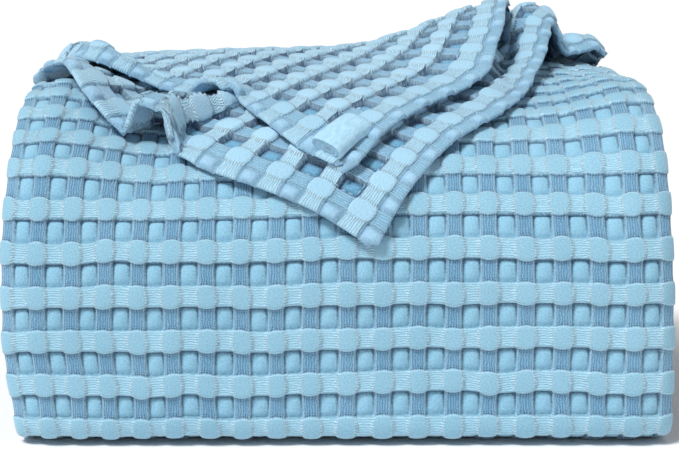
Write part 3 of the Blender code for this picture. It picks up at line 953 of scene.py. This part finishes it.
def make_rolled_tip(end, material):
    """The upper end's tip, rolled under and pressed flat: an oval tube with an open end."""
    steps = np.linspace(0, 1, TIP_RINGS)
    first, last = np.array(TIP_FROM), np.array(TIP_TO)
    x, along = (first + (last - first) * steps[:, None]).T
    left, right = smooth(UPPER_HEMS, along), smooth(UPPER_HEMS, along, 2)
    middle, normal = end.points((x - left) / (right - left), along, 0.04, 2)
    ahead = np.gradient(middle, axis=0)
    aside = unit_normals(ahead, normal)
    middle = middle + normal * (TIP_LIFT - TIP_SINK * steps[:, None] ** 2)
    turns = np.linspace(0, 2 * math.pi, TIP_SIDES + 1)[:-1]
    crumple = 1 + TIP_CRUMPLE * noise(steps[:, None] * 5, turns * 1.3, 6)
    ring = tube_ring(aside, normal, TIP_SIDES, *TIP_HALF, TIP_POWER)
    points = middle[:, None] + ring * crumple[..., None]
    axis = unit_normals(aside[:1], normal[:1])[0]
    outwards = -axis if axis @ ahead[0] > 0 else axis
    first, last = points[0] - middle[0], points[-1] - middle[-1]
    opened = [middle[0] + first * size + outwards * out for size, out in TIP_OPEN]
    closed = [middle[-1] + last * size for size in TIP_CLOSED]
    points = np.concatenate([opened[::-1], points, closed])
    place = np.linspace(-0.20, 0.20, len(points))[:, None] + 0 * turns
    weave = np.stack([place, 0.19 * np.cos(turns) + 0 * place], -1) + WEAVE_ORIGIN
    quads = tube_faces(len(points), TIP_SIDES)
    return tube_object("rolled_tip", points, quads, weave, material)


# --- materials ---

# The two looks are one cloth, lit and shaded differently. The loose ends, mostly on the top,
# are painted lighter for the light that falls there, with darker pockets and a wider, stronger
# rim of painted shade. The stack's along floats are darker, partly their own colour and partly
# painted shade under the pads.
LOOKS = (  # (name, of the stack's cloth, which is drawn flat, of the loose ends)
    ("pad", (140, 191, 215), (170, 213, 238)),
    ("cross", (156, 214, 241), (175, 220, 245)),
    ("along", (94, 156, 196), (136, 190, 224)),
    ("pocket", (138, 193, 220), (98, 164, 200)),
    ("rim", (6, 64, 106), (0, 58, 100)),  # painted shade on a pocket's rim, also the deep end of the cotton's uneven tone
    # The painted rim shade: where it starts, how far it reaches, how strong it is and where it
    # fades
    ("rim_from", 0.240, 0.210),  # in repeats off the pad's middle
    ("rim_reach", 1.3, 3.2),  # in millimetres
    ("rim_shade_strength", 0.85, 1.0),
    ("rim_fade", 0.8, 0.0),  # how far the painted shade fades on the lower side of a pocket, which the light from above reaches
    ("sheen", 0.5, 0.45),
)
BEAD_COLOUR = (162, 204, 234)
# The colour of the painted highlights, and the pale end of the cotton's uneven tone
HIGHLIGHT_AND_PALE_COLOUR = (206, 240, 254)
HEM_COLOUR, HEM_TINT = (138, 190, 215), 0.25
RIB_ALONG, RIB_CROSS, THREAD = 1.6, 1.5, 0.85  # pitch of the ribs and of the plain weave
RIB_HEIGHT, PUCKER_HEIGHT, THREAD_HEIGHT, FUZZ_HEIGHT = 0.16, 0.22, 0.04, 0.34
POCKET_CORNER = 2.6  # radius
JAG_U, JAG_V = 0.050, 0.030  # how far the parts' edges stray, in repeats
# Lines off a pad's middle: (distance, half width, where it has faded out), in repeats
SIDE_LINE, LIP_LINE = (0.240, 0.015, 0.065), (0.242, 0.006, 0.024)
ARCS = ((0.285, 0.004, 0.024, 0.75), (0.335, 0.004, 0.020, 0.35))  # with their painted shade, where a float leaves its pad
CROSS_SHADE, ALONG_SHADE, SIDE_SHADE = 0.09, 0.15, 0.14  # painted shade between the ribs, and between the puckers at a pad's sides
# Shares of painted highlight: on the ribs' crests, on a pad's lips, and on its puckered sides
# and their teeth
CROSS_LIGHT, ALONG_LIGHT, LIP_LIGHT = 0.22, 0.08, 0.30
SIDE_LIGHT, TOOTH_LIGHT = 0.20, 0.32
PALE, DEEP = 0.22, 0.14  # how far the cotton's uneven tone goes


def linear(colour):
    """A screen colour from 0 to 255 as a shader colour."""
    values = np.array(colour) / 255
    values = np.where(values < 0.04, values / 12.92, ((values + 0.055) / 1.055) ** 2.4)
    return (*values.tolist(), 1.0)


def sign(operation, turned=False):
    """What a sign such as + between two values does: it adds a math node."""

    def apply(value, other):
        pair = (other, value) if turned else (value, other)
        return value.wiring.math(operation, *pair)

    return apply


class Value:
    """A number that a material's nodes work out, used like a number in code."""

    def __init__(self, wiring, socket):
        self.wiring, self.socket = wiring, socket

    __add__, __radd__ = sign("ADD"), sign("ADD", True)
    __sub__, __rsub__ = sign("SUBTRACT"), sign("SUBTRACT", True)
    __mul__, __rmul__ = sign("MULTIPLY"), sign("MULTIPLY", True)


class Wiring:
    """Short ways to add a material's nodes."""

    def __init__(self, name):
        self.material = bpy.data.materials.new(name)
        self.material.use_nodes = True
        self.nodes = self.material.node_tree.nodes
        self.shader = self.nodes["Principled BSDF"].inputs

    def join(self, value, socket):
        if isinstance(value, Value):
            self.material.node_tree.links.new(value.socket, socket)
        else:
            socket.default_value = value

    def set_shader(self, *inputs):
        for name, value in inputs:
            self.join(value, self.shader[name])

    def fill(self, node, inputs, output=0):
        """Fills a node's inputs, by number or name, and gives the value it puts out."""
        for socket, value in inputs:
            self.join(value, node.inputs[socket])
        return Value(self, node.outputs[output])

    def math(self, operation, *values):
        node = self.nodes.new("ShaderNodeMath")
        node.operation = operation
        return self.fill(node, enumerate(values))

    def step(self, value, start, end):
        """Rises smoothly from 0 at start to 1 at end."""
        node = self.nodes.new("ShaderNodeMapRange")
        node.interpolation_type = "SMOOTHSTEP"
        return self.fill(node, enumerate((value, start, end)))

    def line(self, place, middle, near, far):
        """1 up to near from the middle of a line, 0 from far on."""
        return 1.0 - self.step(self.math("ABSOLUTE", place - middle), near, far)

    def noise(self, x, y, detail):
        """Noise from about -0.5 to 0.5 that changes over about one unit."""
        place = self.fill(self.nodes.new("ShaderNodeCombineXYZ"), enumerate((x, y)))
        inputs = (("Vector", place), ("Scale", 1.0), ("Detail", detail))
        return self.fill(self.nodes.new("ShaderNodeTexNoise"), inputs) - 0.5

    def mix(self, share, first, second):
        """A colour that goes from the first to the second with the share."""
        node = self.nodes.new("ShaderNodeMix")
        node.data_type = "RGBA"
        return self.fill(node, zip((0, 6, 7), (share, first, second)), 2)

    def places(self, layer):
        """The two places that a UV map holds."""
        node = self.nodes.new("ShaderNodeUVMap")
        node.uv_map = layer
        parts = self.nodes.new("ShaderNodeSeparateXYZ")
        self.join(Value(self, node.outputs[0]), parts.inputs[0])
        return Value(self, parts.outputs[0]), Value(self, parts.outputs[1])

    def wave(self, place, pitch, stray):
        return self.math("SINE", place * (2 * math.pi / pitch) + stray)

    def smallest(self, first, second):
        return self.math("MINIMUM", first, second)

    def largest(self, first, second):
        return self.math("MAXIMUM", first, second)

    def off_pad(self, place):
        """Distance from the nearest pad's middle, in repeats."""
        return self.math("ABSOLUTE", place - self.math("ROUND", place))


class Weave:
    """The weave's parts and ribs, as a material's nodes find them from its places."""

    def __init__(self, make):
        u, v = make.places("weave")
        self.p, self.q = u * CELL_ACROSS, v * CELL_ALONG
        self.drift = make.noise(u * 0.45 + 7.3, v * 0.45, 2.0)
        self.jag = make.noise(self.p * 0.9, self.q * 0.9, 3.0)
        self.fuzz = make.noise(self.p * 1.3 + 2.7, self.q * 1.3, 3.0)
        self.du = make.off_pad(u) + self.jag * JAG_U
        self.dv = make.off_pad(v) + self.jag * JAG_V
        self.column = 1.0 - make.step(self.du, WALL_START - 0.01, WALL_END)
        self.row = 1.0 - make.step(self.dv, WALL_START - 0.01, WALL_END)
        self.cross = self.row * (1.0 - self.column)
        self.along = self.column * (1.0 - self.row)
        self.pocket = (1.0 - self.column) * (1.0 - self.row)
        self.low = make.step(make.math("FRACT", v), 0.45, 0.68)
        self.side = make.line(self.du, *SIDE_LINE)
        from_edge = make.smallest(u, v)
        self.hem = 1.0 - make.step(from_edge, HEM_END - 0.03, HEM_END + 0.03)
        self.bead = 1.0 - make.step(from_edge, 0.74, 0.78)
        sway = make.noise(self.p * 0.30, self.q * 0.30 + 3.1, 1.0) * 8.0 + self.jag * 2.0
        self.rib_cross = make.wave(self.q, RIB_CROSS, sway)
        self.rib_along = make.wave(self.p, RIB_ALONG, sway)
        self.tooth = make.wave(self.q, RIB_CROSS, self.jag * 9.0)


def painted_rim_shade(make, at, look):
    """Painted shade on a pocket's rim, which has rounded corners."""
    x = (0.5 - WALL_END) * -CELL_ACROSS + POCKET_CORNER + (0.5 - at.du) * CELL_ACROSS
    y = (0.5 - WALL_END) * -CELL_ALONG + POCKET_CORNER + (0.5 - at.dv) * CELL_ALONG
    corner_x, corner_y = make.largest(x, 0.0), make.largest(y, 0.0)
    corner = make.math("SQRT", corner_x * corner_x + corner_y * corner_y)
    inside = POCKET_CORNER - corner - make.smallest(make.largest(x, y), 0.0)
    start = look["rim_from"]
    rim = 1.0 - make.step(inside, -0.1, look["rim_reach"])
    rim = rim * make.step(make.smallest(at.du, at.dv), start, start + 0.04)
    return rim * (1.0 - at.low * look["rim_fade"]) * (1.0 - at.bead * 0.6)


def cotton_colour(make, at, look):
    """The colours of the weave's parts, then their painted shade and their painted highlights.
    """
    colour = make.mix(at.cross, linear(look["pad"]), linear(look["cross"]))
    colour = make.mix(at.along, colour, linear(look["along"]))
    colour = make.mix(at.pocket, colour, linear(look["pocket"]))
    colour = make.mix(at.bead * at.pocket, colour, linear(BEAD_COLOUR))
    # Painted shade: around the pockets' rims, in arcs where a float leaves its pad, between
    # the ribs and between the puckers
    arc_shade = sum(make.line(at.dv, *line) * shade for *line, shade in ARCS)
    shade = painted_rim_shade(make, at, look) * look["rim_shade_strength"] + arc_shade * at.along
    shade += at.cross * CROSS_SHADE * (1.0 - at.rib_cross)
    shade += at.along * ALONG_SHADE * (1.0 - at.rib_along)
    shade += at.side * at.row * SIDE_SHADE * (1.0 - at.tooth)
    colour = make.mix(make.smallest(shade, 1.0), colour, linear(look["rim"]))
    # Painted highlights on the pads' puckered sides and lips, and on the ribs' crests
    light = at.side * (SIDE_LIGHT + TOOTH_LIGHT * at.row * (1.0 + at.tooth))
    light += make.line(at.dv, *LIP_LINE) * at.column * LIP_LIGHT
    light += at.cross * CROSS_LIGHT * (1.0 + at.rib_cross)
    light += at.along * ALONG_LIGHT * (1.0 + at.rib_along)
    colour = make.mix(make.smallest(light, 1.0), colour, linear(HIGHLIGHT_AND_PALE_COLOUR))
    colour = make.mix(at.hem * HEM_TINT, colour, linear(HEM_COLOUR))
    tone = make.step(at.drift * 0.6 + at.fuzz * 2.2, -0.55, 0.55)
    pale = make.mix(PALE, colour, linear(HIGHLIGHT_AND_PALE_COLOUR))
    deep = make.mix(DEEP, colour, linear(look["rim"]))
    return make.mix(tone, deep, pale)


def cotton_height(make, at):
    """The ribs, the plain weave's threads and the fuzz, as a height in millimetres."""
    plain = make.wave(at.p, THREAD, at.jag * 2.0) * make.wave(at.q, THREAD, at.jag * 2.0)
    height = (at.cross * at.rib_cross + at.along * at.rib_along) * RIB_HEIGHT
    height = height + plain * THREAD_HEIGHT + at.side * at.row * at.tooth * PUCKER_HEIGHT
    return height + make.noise(at.p * 0.8, at.q * 0.8 + 5.0, 4.0) * FUZZ_HEIGHT


def cotton(name, kind):
    """Woven cotton: plain pads, two kinds of ribbed floats, and the pockets between."""
    look = {key: kinds[kind] for key, *kinds in LOOKS}
    make = Wiring(name)
    at = Weave(make)
    inputs = (("Distance", 0.001), ("Height", cotton_height(make, at)))
    make.set_shader(
        ("Base Color", cotton_colour(make, at, look)),
        ("Normal", make.fill(make.nodes.new("ShaderNodeBump"), inputs)),
        ("Roughness", 0.9),
        ("Specular IOR Level", 0.25),
        ("Sheen Weight", look["sheen"]),
        ("Sheen Roughness", 0.4),
        ("Sheen Tint", (0.85, 0.94, 1.0, 1)),
    )
    return make.material


# --- floor, light and camera ---

CAMERA_PLACE = (-2.1, -850.0, 231.0)
CAMERA_PITCH, CAMERA_LENS = 7.79, 87.4
FLOOR_SIZE, FLOOR_DROP = 6.0, 0.0004  # in metres
FLOOR_COLOUR, WORLD_COLOUR = (0.985, 0.966, 0.96, 1), (0.99, 0.995, 1.0, 1)
WORLD_SEEN, WORLD_LIGHT = 1.05, 0.39
KEY_POWER, KEY_SOFTNESS = 2.80, 18.0  # its angle in degrees
KEY_TOWARDS = (-0.38, -0.43, 0.82)


def make_stage():
    bpy.ops.mesh.primitive_plane_add(size=FLOOR_SIZE, location=(0, 0, -FLOOR_DROP))
    floor = bpy.context.object
    floor.name = "floor"
    make = Wiring("pale_floor")
    make.set_shader(("Base Color", FLOOR_COLOUR), ("Roughness", 0.9))
    floor.data.materials.append(make.material)


def make_world():
    """A white studio that looks brighter than the light it gives."""
    world = bpy.data.worlds.new("studio")
    world.use_nodes = True
    nodes, links = world.node_tree.nodes, world.node_tree.links
    back = nodes["Background"]
    back.inputs["Color"].default_value = WORLD_COLOUR
    path = nodes.new("ShaderNodeLightPath")
    strength = nodes.new("ShaderNodeMapRange")
    strength.inputs["To Min"].default_value = WORLD_LIGHT
    strength.inputs["To Max"].default_value = WORLD_SEEN
    links.new(path.outputs["Is Camera Ray"], strength.inputs["Value"])
    links.new(strength.outputs[0], back.inputs["Strength"])
    bpy.context.scene.world = world


def make_key_light():
    data = bpy.data.lights.new("key_light", "SUN")
    data.energy = KEY_POWER
    data.angle = math.radians(KEY_SOFTNESS)
    light = add_object("key_light", data)
    light.rotation_euler = Vector(KEY_TOWARDS).to_track_quat("Z", "Y").to_euler()


def make_camera():
    data = bpy.data.cameras.new("camera")
    data.lens = CAMERA_LENS
    camera = add_object("camera", data)
    camera.location = metres(np.array(CAMERA_PLACE))
    camera.rotation_euler = (math.radians(90 - CAMERA_PITCH), 0, 0)
    bpy.context.scene.camera = camera
    bpy.context.scene.view_settings.view_transform = "Standard"


# --- the whole ---


def main():
    # The loose ends' copy of the cotton is painted lighter for the light on the top, with more
    # painted shade in its pockets
    fabric, loose = cotton("cotton", 0), cotton("loose_cotton_painted_light", 1)
    pieces = make_wrap(fabric) + make_layers(fabric)
    lower = LooseEnd(lower_surface, LOWER_HEMS, 0.0, LOWER_HEMS_FROM)
    upper = LooseEnd(upper_surface, UPPER_HEMS, UPPER_START, UPPER_HEMS_FROM)
    for name, end in (("lower", lower), ("upper", upper)):
        sewn = [make_stitches(name + "_stitches", end, loose)]
        if name == "upper":
            sewn.append(make_rolled_tip(end, loose))
        pieces += [make_loose_end(name + "_corner", end, loose), *sewn]
    for piece in pieces:
        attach(piece, "root")
        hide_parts("blanket")
    make_stage()
    make_world()
    make_key_light()
    make_camera()


main()
